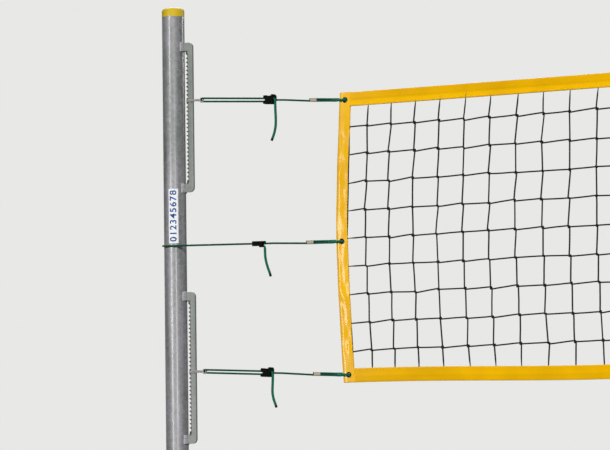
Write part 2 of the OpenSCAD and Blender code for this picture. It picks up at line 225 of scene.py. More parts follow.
def zinc(look):
    def build(bench, where):
        x, y, z = bench.parts(where)
        crystals = bench.add(
            "ShaderNodeTexVoronoi", None, {"Vector": where, "Scale": look["spangle"]}, "Color"
        )
        grain = bench.add("ShaderNodeSeparateColor", None, {0: crystals})
        clouds = bench.noise(bench.joined(x, y, z * 0.45), look["clouds"], 5.0, 0.6)
        streaks = bench.noise(bench.joined(x, y, z * 0.04), look["streaks"], 3.0)
        dust = bench.noise(where, 420.0, 2.0)
        share = bench.within(clouds, 0.3, 0.72) * 0.5 + grain * 0.28 + bench.within(streaks, 0.35, 0.65) * 0.3
        tone = bench.mixed(share, look["dark"], look["light"])
        facing = bench.add("ShaderNodeLayerWeight", None, {"Blend": 0.5}, "Facing")
        return {
            "Base Color": tone,
            "Metallic": look["metal"],
            "Specular IOR Level": look["level"],
            "Coat Weight": bench.within(facing, 0.55, 0.15) * look["haze"],
            "Coat Roughness": 0.5,
            "Roughness": look["roughness"] + grain * 0.12 - clouds * 0.1,
            "Normal": bench.bump(grain * 0.25 + clouds + dust * 0.2, 0.25, 0.0006),
        }

    return build


# Rail zinc, with painted shade round the teeth, at the tooth tips beside the post and along the outer edge
def railZinc(look):
    plain = zinc(look)

    def build(bench, where):
        values = plain(bench, where)
        x, y, z = bench.parts(where)
        out = postSpacing / 2 - bench.maths("ABSOLUTE", x - postSpacing / 2)
        above = bench.maths("GREATER_THAN", z, net["middle"])
        high, low = railEnds["upper"][1], railEnds["lower"][1]
        start = above * (high - low) + low - look["firstNotch"]
        turns = (start - z) / look["pitch"] + 0.5
        dz = (turns - bench.maths("FLOOR", turns) - 0.5) * look["pitch"]
        dx = out - look["notchCentre"]
        gap = bench.maths("SQRT", dx * dx + dz * dz) - look["notchRadius"]
        rim = bench.within(gap, *look["rim"])
        tips = bench.within(out, *look["tips"])
        edge = bench.within(out, *(look["outerEdge"] - inset for inset in look["edge"])) * look["edgeShade"]
        down = start + look["firstNotch"] - z
        before, after = look["slotFade"]
        slotEnd = look["length"] - look["leg"]
        slotted = bench.within(down, look["leg"] - before, look["leg"] + after)
        slotted = slotted * bench.within(down, slotEnd + before, slotEnd - after)
        # painted shade: the colour darkens round the notches, at the tooth tips beside the post and along the
        # outer edge
        paintedShade = bench.maths("MAXIMUM", bench.maths("MAXIMUM", rim, tips) * slotted, edge)
        values["Base Color"] = bench.mixed(paintedShade, values["Base Color"], look["railShadeTone"])
        return values

    return build


railEnds = {"upper": (1.917, 2.467), "lower": (1.002, 1.552)}


def plainMetal(colour, roughness, scale=160.0, metal=1.0, level=0.25):
    def build(bench, where):
        wear = bench.noise(where, scale, 3.0)
        return {
            "Base Color": bench.mixed(wear, tuple(c * 0.75 for c in colour[:3]) + (1,), colour),
            "Metallic": metal,
            "Roughness": roughness + wear * 0.12,
            "Specular IOR Level": level,
            "Normal": bench.bump(wear, 0.2, 0.0003),
        }

    return build


def moulded(colour, roughness, speckle=900.0, level=0.5):
    def build(bench, where):
        grain = bench.noise(where, speckle, 2.0)
        wear = bench.noise(where, 60.0, 3.0)
        worn = tuple(min(1, c * 1.12 + 0.002) for c in colour[:3]) + (1,)
        return {
            "Base Color": bench.mixed(wear, colour, worn),
            "Roughness": roughness + wear * 0.15,
            "Specular IOR Level": level,
            "Normal": bench.bump(grain, 0.15, 0.0002),
        }

    return build


cordSet = {"radius": 0.0034, "slack": 1.36, "sides": 12, "ringSpacing": 0.003, "meltedTip": 0.009}
braidLook = {
    "strands": 8, "step": 0.0021, "dark": paint(1, 44, 34), "light": paint(2, 100, 75),
    "slackLight": paint(8, 140, 108),
}


def braided(look):
    def build(bench, where):
        around = bench.add("ShaderNodeAttribute", {"attribute_name": "around"}, out="Vector")
        along = bench.add("ShaderNodeAttribute", {"attribute_name": "along"}, out="Fac")
        melt = bench.add("ShaderNodeAttribute", {"attribute_name": "melt"}, out="Fac")
        x, y, z = bench.parts(around)
        turn = bench.maths("ARCTAN2", y, x) * (look["strands"] / (2 * math.pi))
        run = along * (1 / look["step"])
        oneWay = bench.maths("ABSOLUTE", bench.maths("SINE", (turn + run) * math.pi))
        otherWay = bench.maths("ABSOLUTE", bench.maths("SINE", (turn - run) * math.pi))
        relief = oneWay * otherWay
        fibre = bench.noise(where, 700.0, 2.0)
        slack = bench.add("ShaderNodeAttribute", {"attribute_name": "swell"}, out="Fac")
        light = bench.mixed(bench.within(slack, 1.0, cordSet["slack"]), look["light"], look["slackLight"])
        # painted shade and highlight: the braid's grooves take the dark tone and its strand crowns the light
        # tone
        tone = bench.mixed(relief * 0.75 + fibre * 0.3, look["dark"], light)
        return {
            "Base Color": bench.mixed(melt, tone, paint(3, 7, 6)),
            "Roughness": 0.62 - relief * 0.12,
            "Specular IOR Level": 0.03,
            "Normal": bench.bump(relief + fibre * 0.2, 0.5, 0.0008),
        }

    return build


vinylLook = {"deep": paint(214, 158, 0), "bright": paint(255, 195, 3), "roughness": 0.26}


def vinyl(look, banded):
    def build(bench, where):
        x, y, z = bench.parts(where)
        creases = bench.noise(bench.joined(x, y, z * 0.6), 38.0, 4.0, 0.62)
        ridges = bench.maths("ABSOLUTE", creases - 0.5) * 2
        weave = bench.noise(where, 900.0, 1.0)
        soft = bench.noise(where, 6.0, 3.0)
        share = bench.within(soft, 0.3, 0.7) * 0.4 + 0.5
        # painted shade and light: the top band is darker in its upper half, lighter below it and darker again
        # towards its lower edge, and the bottom band a little darker throughout
        if banded:
            fall = (net["top"] - z) * (1 / 0.05)
            share = share - bench.within(fall, 0.62, 0.50) * 0.25 + bench.within(fall, 0.58, 0.7) * 0.2
            share = share - bench.within(fall, 0.9, 1.0) * 0.3
        relief = ridges * 0.5 + weave * (0.12 if banded else 0.03)
        return {
            "Base Color": bench.mixed(share, look["deep"], look["bright"]),
            "Roughness": look["roughness"] + soft * 0.12,
            "Normal": bench.bump(relief, 0.35 if banded else 0.25, 0.0015),
            "Coat Weight": 0.10 if banded else 0.09,
            "Coat Roughness": 0.13 if banded else 0.2,
            "Specular IOR Level": 0.0,
        }

    return build


def fibrous(colour, gloss):
    def build(bench, where):
        strands = bench.noise(where, 1300.0, 2.0)
        return {
            "Base Color": bench.mixed(strands, colour, tuple(c * 1.6 + 0.001 for c in colour[:3]) + (1,)),
            "Roughness": gloss,
            "Specular IOR Level": 0.08,
            "Normal": bench.bump(strands, 0.5, 0.0006),
        }

    return build


# the rail look's dark notch colour is the painted shade; its rim, tips and edge settings say where it is
# painted
railLook = dict(
    zincLook, dark=paint(112, 119, 112), light=paint(154, 158, 154), roughness=0.5, haze=0.05,
    railShadeTone=paint(38, 46, 42), firstNotch=0.045, pitch=0.015, notchCentre=0.05175, notchRadius=0.0065,
    outerEdge=0.08025, leg=0.030, length=0.550, rim=(0.0042, 0.0010), tips=(0.0560, 0.0535),
    edge=(0.0030, 0.0002), edgeShade=0.45, slotFade=(0.002, 0.003),
)
surfaces = {
    "postZinc": zinc(zincLook),
    "railZinc": railZinc(railLook),
    "weldZinc": plainMetal(paint(176, 175, 178), 0.5, 300.0, 0.0, 0.1),
    "hookWire": plainMetal(paint(172, 166, 163), 0.4, metal=0.0, level=0.08),
    "capPlastic": moulded(paint(208, 178, 24), 0.42, level=0.05),
    "cleatPlastic": moulded(paint(3, 5, 4), 0.5, level=0.008),
    "crimpMetal": plainMetal(paint(178, 166, 146), 0.55, 260.0, 0.0, 0.12),
    "eyeletMetal": plainMetal(paint(10, 20, 16), 0.6, 260.0, 0.0, 0.05),
    "cordBraid": braided(braidLook),
    "bandVinyl": vinyl(vinylLook, True),
    "sideVinyl": vinyl(vinylLook, False),
    "seamThread": fibrous(paint(226, 176, 30), 0.6),
    "netTwine": fibrous(paint(5, 5, 7), 0.6),
    "labelFilm": moulded(paint(228, 230, 232), 0.4, level=0.1),
    "labelInk": moulded(paint(10, 70, 140), 0.5, level=0.05),
}
finishes = {name: makeFinish(name, build) for name, build in surfaces.items()}
print("finishes mixed")


# Geometry node trees: named inputs, one geometry in and one out
def newTree(name, inputs):
    tree = bpy.data.node_groups.new(name, "GeometryNodeTree")
    tree.interface.new_socket("Geometry", in_out="INPUT", socket_type="NodeSocketGeometry")
    kinds = {"number": "NodeSocketFloat", "count": "NodeSocketInt", "finish": "NodeSocketMaterial"}
    for label, kind in inputs.items():
        tree.interface.new_socket(label, in_out="INPUT", socket_type=kinds[kind])
    tree.interface.new_socket("Geometry", in_out="OUTPUT", socket_type="NodeSocketGeometry")
    bench = Bench(tree)
    group = tree.nodes.new("NodeGroupInput")
    return bench, {s.name: Wire(bench, s) for s in group.outputs if s.name}


def closeTree(bench, shape, finish):
    whole = bench.add("GeometryNodeRealizeInstances", None, {0: shape})
    smooth = bench.add("GeometryNodeSetShadeSmooth", None, {0: whole})
    painted = bench.add("GeometryNodeSetMaterial", None, {"Geometry": smooth, "Material": finish})
    bench.add("NodeGroupOutput", None, {0: painted})


def grow(name, source, bench, values):
    carrier = linked(name + "Source", source)
    modifier = carrier.modifiers.new("grow", "NODES")
    modifier.node_group = bench.tree
    for item in bench.tree.interface.items_tree:
        if item.in_out == "INPUT" and item.name in values:
            modifier[item.identifier] = values[item.name]
    grown = settled(carrier)
    bpy.data.objects.remove(carrier)
    return grown


def turnOut(mesh):
    shell = bmesh.new()
    shell.from_mesh(mesh)
    bmesh.ops.recalc_face_normals(shell, faces=shell.faces)
    shell.to_mesh(mesh)
    shell.free()


def asPiece(name, mesh, body, replaced=()):
    turnOut(mesh)
    piece = linked(name, mesh)
    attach(piece, body)
    if replaced:
        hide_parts(*replaced)
    return piece


def pathMesh(name, points, tip=0.0, swell=None):
    mesh = bpy.data.meshes.new(name)
    mesh.from_pydata(points, [(i, i + 1) for i in range(len(points) - 1)], [])
    run = [0.0]
    for a, b in zip(points, points[1:]):
        run.append(run[-1] + (b - a).length)
    mesh.attributes.new("along", "FLOAT", "POINT").data.foreach_set("value", run)
    melt = [1.0 if tip and run[-1] - r < tip else 0.0 for r in run]
    mesh.attributes.new("melt", "FLOAT", "POINT").data.foreach_set("value", melt)
    loose = [swell(r, p) if swell else 1.0 for r, p in zip(run, points)]
    mesh.attributes.new("swell", "FLOAT", "POINT").data.foreach_set("value", loose)
    return mesh, run[-1]


# Cord: a round tube along a path, with the angle round it kept for the braid
cordTree, cordWires = newTree(
    "cordTree", {"Radius": "number", "Sides": "count", "Ring spacing": "number", "Finish": "finish"}
)
path = cordTree.add("GeometryNodeMeshToCurve", None, {0: cordWires["Geometry"]})
path = cordTree.add(
    "GeometryNodeResampleCurve", {"mode": "LENGTH"}, {"Curve": path, "Length": cordWires["Ring spacing"]}
)
ring = cordTree.add(
    "GeometryNodeCurvePrimitiveCircle", None, {"Resolution": cordWires["Sides"], "Radius": 1.0}
)
ring = cordTree.add(
    "GeometryNodeStoreNamedAttribute",
    {"data_type": "FLOAT_VECTOR", "domain": "POINT"},
    {"Geometry": ring, "Name": "around", "Value": cordTree.add("GeometryNodeInputPosition")},
)
swollen = cordTree.add("GeometryNodeInputNamedAttribute", {"data_type": "FLOAT"}, {"Name": "swell"})
tube = cordTree.add("GeometryNodeCurveToMesh", None, {
    "Curve": path, "Profile Curve": ring, "Scale": swollen * cordWires["Radius"], "Fill Caps": True,
})
closeTree(cordTree, tube, cordWires["Finish"])


def cordPiece(name, points, body, node, tip=0.0, swell=None):
    source, length = pathMesh(name + "Path", points, tip, swell)
    mesh = grow(name, source, cordTree, {
        "Radius": cordSet["radius"], "Sides": cordSet["sides"],
        "Ring spacing": cordSet["ringSpacing"], "Finish": finishes["cordBraid"],
    })
    return asPiece(name, mesh, body, [node]), length


# Where the hooks, eyelets and ropes lie, worked out as the part's source does
hookSet = {"railEdge": 0.08025, "neck": 0.014, "legY": 0.00715, "jog": 0.006, "eye": 0.0075}
jogAngle = math.acos(1 - hookSet["legY"] / (2 * hookSet["jog"]))
eyeX = hookSet["railEdge"] + hookSet["neck"] + 2 * hookSet["jog"] * math.sin(jogAngle)
eyeX = eyeX + hookSet["eye"] + 0.001
bight = {"x": eyeX + 0.0065, "radius": 0.008, "lift": 0.65}
bight["side"] = math.sqrt(1 - bight["lift"] ** 2)
strand = 0.0056
eyeletHeights = {"upper": net["top"] - 0.027, "middle": net["middle"] - 0.011, "lower": net["bottom"] + 0.036}
ropeSet = {
    "upper": {"start": (bight["x"], 2.252), "reach": 0.277, "roll": 0.0},
    "middle": {"start": (0.0, 1.724), "reach": 0.305, "roll": 95.0},
    "lower": {"start": (bight["x"], 1.262), "reach": 0.300, "roll": 0.0},
}
for level, rope in ropeSet.items():
    rope["eyelet"] = (bowed(eyeletHeights[level]) + net["eyeletInset"], eyeletHeights[level])
    across, down = rope["eyelet"][0] - rope["start"][0], rope["start"][1] - rope["eyelet"][1]
    rope["run"] = math.hypot(across, down)
    rope["dip"] = math.atan2(down, across)
    rope["block"] = rope["run"] - rope["reach"] - 0.046


def onRope(rope, x, y, z, rolled=True):
    roll = math.radians(rope["roll"]) if rolled else 0.0
    y, z = y * math.cos(roll) - z * math.sin(roll), y * math.sin(roll) + z * math.cos(roll)
    dip = rope["dip"]
    return Vector((
        rope["start"][0] + x * math.cos(dip) + z * math.sin(dip),
        y,
        rope["start"][1] - x * math.sin(dip) + z * math.cos(dip),
    ))


def hookLoopRoute(rope):
    near, far = rope["block"] - 0.004, rope["block"] + 0.040
    turn = [math.radians(a) for a in range(90, -91, -10)]
    route = [(far, 0, strand), (near, 0, strand)]
    route += [
        (-bight["radius"] * math.cos(f), -bight["radius"] * bight["side"] * math.sin(f),
         bight["radius"] * bight["lift"] * math.sin(f)) for f in turn
    ]
    route += [(near, 0, -strand), (far, 0, -strand)]
    return [onRope(rope, *p) for p in route]


def postLoopRoute(rope):
    radius = postRadius + 0.0009 + cordSet["radius"]  # clears the label when the net is raised
    near, far = rope["block"] - 0.004, rope["block"] + 0.040
    touch = math.atan2(strand, near) + math.acos(radius / math.hypot(near, strand))
    steps = 80
    route = [(far, 0, strand), (near, 0, strand)]
    for i in range(steps + 1):
        a = touch + (2 * math.pi - 2 * touch) * i / steps
        route.append((radius * math.cos(a), 0, radius * math.sin(a)))
    route += [(near, 0, -strand), (far, 0, -strand)]
    return [onRope(rope, *p) for p in route]


def netCordRoute(rope):
    run, stack, wide = rope["run"], 0.0033, 0.00785
    last = run - 0.112
    first = last - 0.025
    centre = run + 0.0015 - wide
    route = [(rope["block"] + 0.041, 0, 0), (rope["block"] + 0.082, 0, 0)]
    route += [(first, 0, -stack), (last, 0, -stack), (run - 0.058, -0.5 * wide, -stack)]
    route += [(run - 0.034, -wide, -0.9 * stack), (run - 0.018, -wide, -0.3 * stack)]
    for a in range(-90, 91, 10):
        f = math.radians(a)
        route.append((centre + wide * math.cos(f), wide * math.sin(f), 0))
    route += [(run - 0.018, wide, 0.3 * stack), (run - 0.034, wide, 0.9 * stack)]
    route += [(run - 0.058, 0.5 * wide, stack), (last, 0, stack), (first - 0.004, 0, stack)]
    return [onRope(rope, *p, rolled=False) for p in route]


# Routes of the free tails, in millimetres from where they leave their tensioners
tailRoutes = {
    "upper": [
        (0, 0, 0), (4, 0, 0), (8, 0, -0.5), (12.5, -0.2, -2), (16, -0.4, -5.5), (17.3, -0.6, -11),
        (17.5, -0.8, -20), (17.8, -1, -35), (18.4, -1.2, -52), (19.2, -1.4, -70), (19.3, -1.5, -86),
        (18.4, -1.4, -101), (16, -1.2, -115), (12, -1, -129), (7, -0.8, -142), (1, -0.5, -155),
    ],
    "middle": [
        (0, 0, 0), (4, 0, 0), (8, 0, -0.5), (12.5, 0, -2), (16, 0, -5.5), (17.3, 0, -11),
        (17.6, -0.2, -22), (18.2, -0.5, -36), (20, -0.9, -49), (22.8, -1.3, -62), (26.8, -1.6, -75),
        (31.3, -1.8, -88), (36, -2, -100), (40, -2, -113),
    ],
    "lower": [
        (0, 0, 0), (4, 0, 0), (8, 0, -0.5), (12.5, -0.2, -2), (16, -0.4, -5.5), (17.3, -0.6, -11),
        (17.6, -0.8, -25), (17.2, -1, -40), (16.4, -1.1, -55), (15.8, -1.2, -69), (16.4, -1.3, -82),
        (18.8, -1.4, -95), (22.6, -1.5, -108), (27, -1.5, -119), (31, -1.5, -131),
    ],
}


def smoothed(points, steps=5):
    ends = [points[0] * 2 - points[1]] + points + [points[-1] * 2 - points[-2]]
    route = []
    for a, b, c, d in zip(ends, ends[1:], ends[2:], ends[3:]):
        for i in range(steps):
            t = i / steps
            route.append(0.5 * (
                2 * b + (c - a) * t + (2 * a - 5 * b + 4 * c - d) * t * t + (3 * b - a - 3 * c + d) * t ** 3
            ))
    return route + [points[-1]]


def loosened(share):
    return 1 + (cordSet["slack"] - 1) * clamped(share)


def makeCords():
    for side in ("left", "right"):
        for level, rope in ropeSet.items():
            if level == "middle":
                node = side + "_middle_post_loop"
                cordPiece(node + "_cord", onSide(side, postLoopRoute(rope)), "net", node)
            else:
                node = f"{side}_{level}_hook_loop"
                cordPiece(node + "_cord", onSide(side, hookLoopRoute(rope)), f"{side}_{level}_hook", node)
            node = f"{side}_{level}_net_cord"
            hole = onSide(side, [Vector((rope["eyelet"][0], 0, rope["eyelet"][1]))])[0]
            cordPiece(
                node + "_braid", onSide(side, netCordRoute(rope)), "net", node,
                swell=lambda run, p: loosened((0.060 - (p - hole).length) / 0.025),
            )
            start = onRope(rope, 0.03025, -0.007, 0.006)
            along = onRope(rope, rope["block"], 0, 0) - onRope(rope, 0, 0, 0)
            start += along
            route = smoothed([start + Vector(p) * 0.001 for p in tailRoutes[level]])
            node = f"{side}_{level}_tail"
            route = onSide(side, route)
            tail, length = cordPiece(
                node + "_cord", route, f"{side}_{level}_tensioner", node, cordSet["meltedTip"],
                swell=lambda run, p: loosened((run - 0.012) / 0.012),
            )
            print(node, round(length, 4))


makeCords()
print("cords made")


# Keeper: a rounded bar moulded over each tail's bend, in millimetres on its tensioner
keeperSet = {"from": (27.5, -13.4, -13.0), "to": (41.5, -8.0, 14.0), "round": 1.8}


def makeKeepers():
    low, high = (Vector(keeperSet[k]) * 0.001 for k in ("from", "to"))
    for side in ("left", "right"):
        for level, rope in ropeSet.items():
            shell = bmesh.new()
            bmesh.ops.create_cube(shell, size=1.0)
            for v in shell.verts:
                v.co = Vector(low[i] if v.co[i] < 0 else high[i] for i in range(3))
            bmesh.ops.bevel(
                shell, geom=shell.edges[:], offset=keeperSet["round"] * 0.001, segments=3,
                affect="EDGES", profile=0.5,
            )
            for v in shell.verts:
                v.co = onRope(rope, rope["block"] + v.co.x, v.co.y, v.co.z)
                if side == "right":
                    v.co.x = postSpacing - v.co.x
            mesh = bpy.data.meshes.new("keeper")
            shell.to_mesh(mesh)
            shell.free()
            mesh.polygons.foreach_set("use_smooth", [True] * len(mesh.polygons))
            mesh.materials.append(finishes["cleatPlastic"])
            asPiece(f"{side}_{level}_keeper", mesh, f"{side}_{level}_tensioner")


makeKeepers()


def dress(nodes, finish):
    for node in nodes:
        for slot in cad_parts[node].material_slots:
            slot.material = finishes[finish]


for side in ("left_", "right_"):
    dress([side + "post_tube", side + "ground_sleeve"], "postZinc")
    dress([side + "upper_rail", side + "lower_rail"], "railZinc")
    dress([side + "upper_hook", side + "lower_hook"], "hookWire")
    dress([side + level + "_tensioner" for level in ropeSet], "cleatPlastic")
    dress([side + "post_cap"], "capPlastic")
    dress([side + "ferrules"], "crimpMetal")
    dress([side + "eyelets"], "eyeletMetal")
print("metal and plastic dressed")


# Netting: a grid of knots drawn in at the ends, twine between them, a knot on each
netSet = {
    "Bays": 83, "Rows": 10, "First column": 0.781, "Pitch": 0.1007, "Gather": 0.043, "Gather reach": 3.0,
    "Top row": 2.215, "Row pitch": 0.0998, "Centre": postSpacing / 2, "Bow": net["bow"],
    "Middle": net["middle"], "Half height": net["height"] / 2, "Twine radius": 0.0029,
    "Knot step": 0.0017, "Slack": 0.004, "Shift": 0.0026, "Knot radius": 0.0038, "Tape": 0.046, "Seed": 7,
}
kinds = {name: "count" if isinstance(value, int) else "number" for name, value in netSet.items()}
netTree, netWires = newTree("netTree", dict(kinds, Finish="finish"))


def randomVector(bench, reach, seed):
    values = {0: bench.joined(-reach, -reach, -reach), 1: bench.joined(reach, reach, reach), "Seed": seed}
    return bench.add("FunctionNodeRandomValue", {"data_type": "FLOAT_VECTOR"}, values)


tapeFade = (0.002, 0.012)  # the twine flattens over this stretch as it enters a tape


def clearOfTapes(bench, w):
    x, y, z = bench.parts(bench.add("GeometryNodeInputPosition"))
    start, end = w["Tape"] + tapeFade[0], w["Tape"] + tapeFade[1]
    below = bench.within(w["Middle"] + w["Half height"] - z, start, end)
    run = w["Centre"] - bench.maths("ABSOLUTE", x - w["Centre"]) - net["gap"]
    run = bench.maths("MINIMUM", bench.maths("MAXIMUM", run, 0.0) / sagSet["over"], 1.0)
    lift = sagSet["up"] - sagSet["down"] * (1 - (1 - run * run) ** 2)
    above = bench.within(z - w["Middle"] + w["Half height"] - lift, start, end)
    return below * above


def buildNet(bench, w):
    grid = bench.add("GeometryNodeMeshGrid", None, {
        "Size X": w["Bays"] + 2, "Size Y": w["Rows"] * 1.0,
        "Vertices X": w["Bays"] + 3, "Vertices Y": w["Rows"] + 1,
    })
    x, y, z = bench.parts(bench.add("GeometryNodeInputPosition"))
    far = bench.maths("ABSOLUTE", x)
    side = bench.maths("SIGN", x)
    column = w["Bays"] * 0.5 - far
    drawn = w["Gather"] * (1 - bench.maths("EXPONENT", -column / w["Gather reach"]))
    fromPost = w["First column"] + w["Pitch"] * column - drawn
    height = w["Top row"] - w["Row pitch"] * (w["Rows"] * 0.5 - y)
    rise = bench.maths("MINIMUM", bench.maths("ABSOLUTE", height - w["Middle"]) / w["Half height"], 1.0)
    pull = w["Bow"] * (1 - rise ** 1.5) * (far / (w["Bays"] * 0.5))
    place = bench.joined(w["Centre"] + side * (w["Centre"] - fromPost + pull), 0.0, height)
    knots = bench.add("GeometryNodeSetPosition", None, {
        "Geometry": grid, "Position": place, "Offset": randomVector(bench, w["Shift"], w["Seed"]),
    })
    bars = bench.add("GeometryNodeMeshToCurve", None, {0: knots})
    step = w["Knot step"]
    spread = {2: -0.3 * step, 3: 2.6 * step, "Seed": w["Seed"] + 1}
    size = bench.add("FunctionNodeRandomValue", {"data_type": "FLOAT"}, spread, 1)
    bars = bench.add(
        "GeometryNodeStoreNamedAttribute",
        {"data_type": "FLOAT", "domain": "CURVE"},
        {"Geometry": bars, "Name": "step", "Value": size},
    )
    bars = bench.add("GeometryNodeResampleCurve", {"mode": "COUNT"}, {"Curve": bars, "Count": 5})
    share = bench.add("GeometryNodeSplineParameter")
    bulge = share * (1 - share) * 4.0
    drift = bench.noise(bench.add("GeometryNodeInputPosition"), 9.0, 1.0).other("Color")
    drift = bench.scaled(bench.vector("SUBTRACT", drift, (0.5, 0.5, 0.5)), bulge * w["Slack"])
    alongX, alongY, alongZ = bench.parts(bench.add("GeometryNodeInputTangent"))
    stored = bench.add("GeometryNodeInputNamedAttribute", {"data_type": "FLOAT"}, {"Name": "step"})
    step = stored * (share - 0.5) * 2.0
    tied = bench.joined(alongZ * step, 0.0, alongX * step)  # each bar meets its knots a little askew
    moved = {"Geometry": bars, "Offset": bench.vector("ADD", drift, tied)}
    bars = bench.add("GeometryNodeSetPosition", None, moved)
    x, y, z = bench.parts(bench.add("GeometryNodeInputPosition"))
    flat = bench.joined(x, y * clearOfTapes(bench, w), z)
    bars = bench.add("GeometryNodeSetPosition", None, {"Geometry": bars, "Position": flat})
    thick = w["Twine radius"]
    section = bench.add("GeometryNodeCurvePrimitiveCircle", None, {"Resolution": 6, "Radius": thick})
    fromSide = w["Centre"] - bench.maths("ABSOLUTE", x - w["Centre"])
    thin = clearOfTapes(bench, w) * bench.within(fromSide, net["gap"] + 0.024, net["gap"] + 0.045) * 0.5 + 0.5
    twine = bench.add("GeometryNodeCurveToMesh", None, {
        "Curve": bars, "Profile Curve": section, "Scale": thin, "Fill Caps": True,
    })
    coil = bench.add("GeometryNodeCurvePrimitiveCircle", None, {"Resolution": 8, "Radius": w["Knot radius"]})
    wrap = bench.add("GeometryNodeCurvePrimitiveCircle", None, {"Resolution": 5, "Radius": thick * 1.05})
    lump = bench.add("GeometryNodeCurveToMesh", None, {"Curve": coil, "Profile Curve": wrap})
    x, y, z = bench.parts(bench.add("GeometryNodeInputPosition"))
    reach = w["Centre"] - w["First column"] + 0.05
    inside = bench.maths("LESS_THAN", bench.maths("ABSOLUTE", x - w["Centre"]), reach)
    shown = bench.maths("GREATER_THAN", clearOfTapes(bench, w) * inside, 0.5)
    tied = bench.add("GeometryNodeInstanceOnPoints", None, {
        "Points": knots, "Selection": shown, "Instance": lump,
        "Rotation": randomVector(bench, 1.3, w["Seed"] + 2),
    })
    both = bench.add("GeometryNodeJoinGeometry", None, {0: twine})
    bench.tree.links.new(tied.socket, both.socket.node.inputs[0])
    closeTree(bench, both, w["Finish"])


buildNet(netTree, netWires)
seedMesh = bpy.data.meshes.new("netSeed")
knotted = grow("knotted_netting", seedMesh, netTree, dict(netSet, Finish=finishes["netTwine"]))
asPiece("knotted_netting", knotted, "net", ["netting"])
print("net tied", len(knotted.polygons))


# Tapes: coated cloth folded over the edge, swept station by station
tapeSet = {
    "width": 0.050, "sideWidth": 0.044, "cloth": 0.0009, "edgeHalf": 0.0024, "sideHalf": 0.0036,
    "tuck": 0.006, "pinch": 0.5, "pinchDepth": 0.014, "across": 14, "seamInset": 0.005,
}


def loftMesh(name, rows, finish):
    count = len(rows[0])
    points = [p for row in rows for p in row]
    faces = []
    for r in range(len(rows) - 1):
        for i in range(count):
            a, b = r * count + i, r * count + (i + 1) % count
            faces.append((a, b, b + count, a + count))
    for row, order in ((0, 1), (len(rows) - 1, -1)):
        half = count // 2
        for i in range(half - 1):  # end walls, outer points against inner ones
            quad = [row * count + k for k in (i, i + 1, count - 2 - i, count - 1 - i)]
            faces.append(tuple(quad[::order]))
    mesh = bpy.data.meshes.new(name)
    mesh.from_pydata(points, [], faces)
    mesh.polygons.foreach_set("use_smooth", [True] * len(mesh.polygons))
    mesh.materials.append(finish)
    return mesh


def foldedSection(width, half, cloth, across):
    rows = [half + (width - half) * (i + 1) / across for i in range(across)]
    outer = [(-half, depth) for depth in rows[::-1]]
    turn = [math.pi * i / 6 for i in range(7)]
    outer += [(-half * math.cos(a), half - half * math.sin(a)) for a in turn]
    outer += [(half, depth) for depth in rows]
    inner = [(cloth - half, depth) for depth in rows[::-1]]
    inner += [(-(half - cloth) * math.cos(a), half - (half - cloth) * math.sin(a)) for a in turn]
    inner += [(half - cloth, depth) for depth in rows]

    def pinched(y, depth):
        return y * (1 - tapeSet["pinch"] * max(0, 1 - depth / tapeSet["pinchDepth"]) ** 2)

    return [(pinched(y, depth), depth) for y, depth in outer + inner[::-1]]


def edgeShift(x, depth, z0):
    lift = noise.noise(Vector((x * 1.7, depth * 9, z0))) * 0.0016
    lift += noise.noise(Vector((x * 9, depth * 40, z0))) * 0.0005
    sag = noise.noise(Vector((x * 0.9, 3.1, z0))) * 0.0022
    return lift, sag


def edgePoint(x, y, depth, fold, out):
    lift, sag = edgeShift(x, depth, fold)
    crease = 0.0009 * math.exp(-((depth - 0.023) / 0.006) ** 2) * (-1 if y < 0 else 1)
    if out < 0:
        sag += bottomLift(x)
    return Vector((x, y + lift + crease, fold - out * depth + sag))


def edgeStations():
    start, end = net["gap"] + tapeSet["tuck"], postSpacing - net["gap"] - tapeSet["tuck"]
    fine = [start + 0.003 * i for i in range(14)]
    plain = int((end - start - 0.084) / 0.0085)
    middle = [start + 0.042 + (end - start - 0.084) * i / plain for i in range(plain + 1)]
    return fine + middle + [end - (x - start) for x in fine[::-1]]


holeRadius = 0.0069


def pierce(mesh, name):
    drill = bmesh.new()
    for z in eyeletHeights.values():
        inset = bowed(z) + net["eyeletInset"]
        for x in (inset, postSpacing - inset):
            place = Matrix.Translation((x, 0, z)) @ Matrix.Rotation(math.pi / 2, 4, "X")
            bmesh.ops.create_cone(
                drill, cap_ends=True, segments=24, radius1=holeRadius, radius2=holeRadius, depth=0.04,
                matrix=place,
            )
    drillMesh = bpy.data.meshes.new(name + "Drill")
    drill.to_mesh(drillMesh)
    drill.free()
    cutter = linked(name + "Drill", drillMesh)
    blank = linked(name + "Blank", mesh)
    cut = blank.modifiers.new("holes", "BOOLEAN")
    cut.object = cutter
    cut.solver = "EXACT"
    pierced = settled(blank)
    bpy.data.objects.remove(blank)
    bpy.data.objects.remove(cutter)
    return pierced


def makeEdgeTape(node, fold, out):
    section = foldedSection(tapeSet["width"], tapeSet["edgeHalf"], tapeSet["cloth"], tapeSet["across"])
    rows = [[edgePoint(x, y, depth, fold, out) for y, depth in section] for x in edgeStations()]
    mesh = loftMesh(node, rows, finishes["bandVinyl"])
    turnOut(mesh)
    piece = asPiece(node + "_cloth", pierce(mesh, node), "net", [node])


def sideEdge(z):
    ripple = noise.noise(Vector((0.3, 1.2, z * 9))) * 0.0012
    return bowed(z) + ripple


crinkleSet = {"across": 44, "along": 21, "height": 0.0018, "least": 0.75, "gusts": 0.9}


def sidePoint(depth, y, z):
    face = 4.0 if y < 0 else 9.0
    s = crinkleSet
    crinkle = noise.noise(Vector((depth * s["across"], face, z * s["along"]))) * s["height"]
    crinkle *= s["least"] + s["gusts"] * max(0, noise.noise(Vector((0.7, face, z * 9))) + 0.2)
    calm = clamped((net["top"] - 0.09 - z) / 0.08)  # smooth near both corners
    calm *= clamped((z - net["bottom"] - 0.06) / 0.06)
    middle = math.sin(math.pi * clamped(depth / tapeSet["sideWidth"]))
    return Vector((sideEdge(z) + depth, y + (-1 if y < 0 else 1) * crinkle * calm * middle, z))


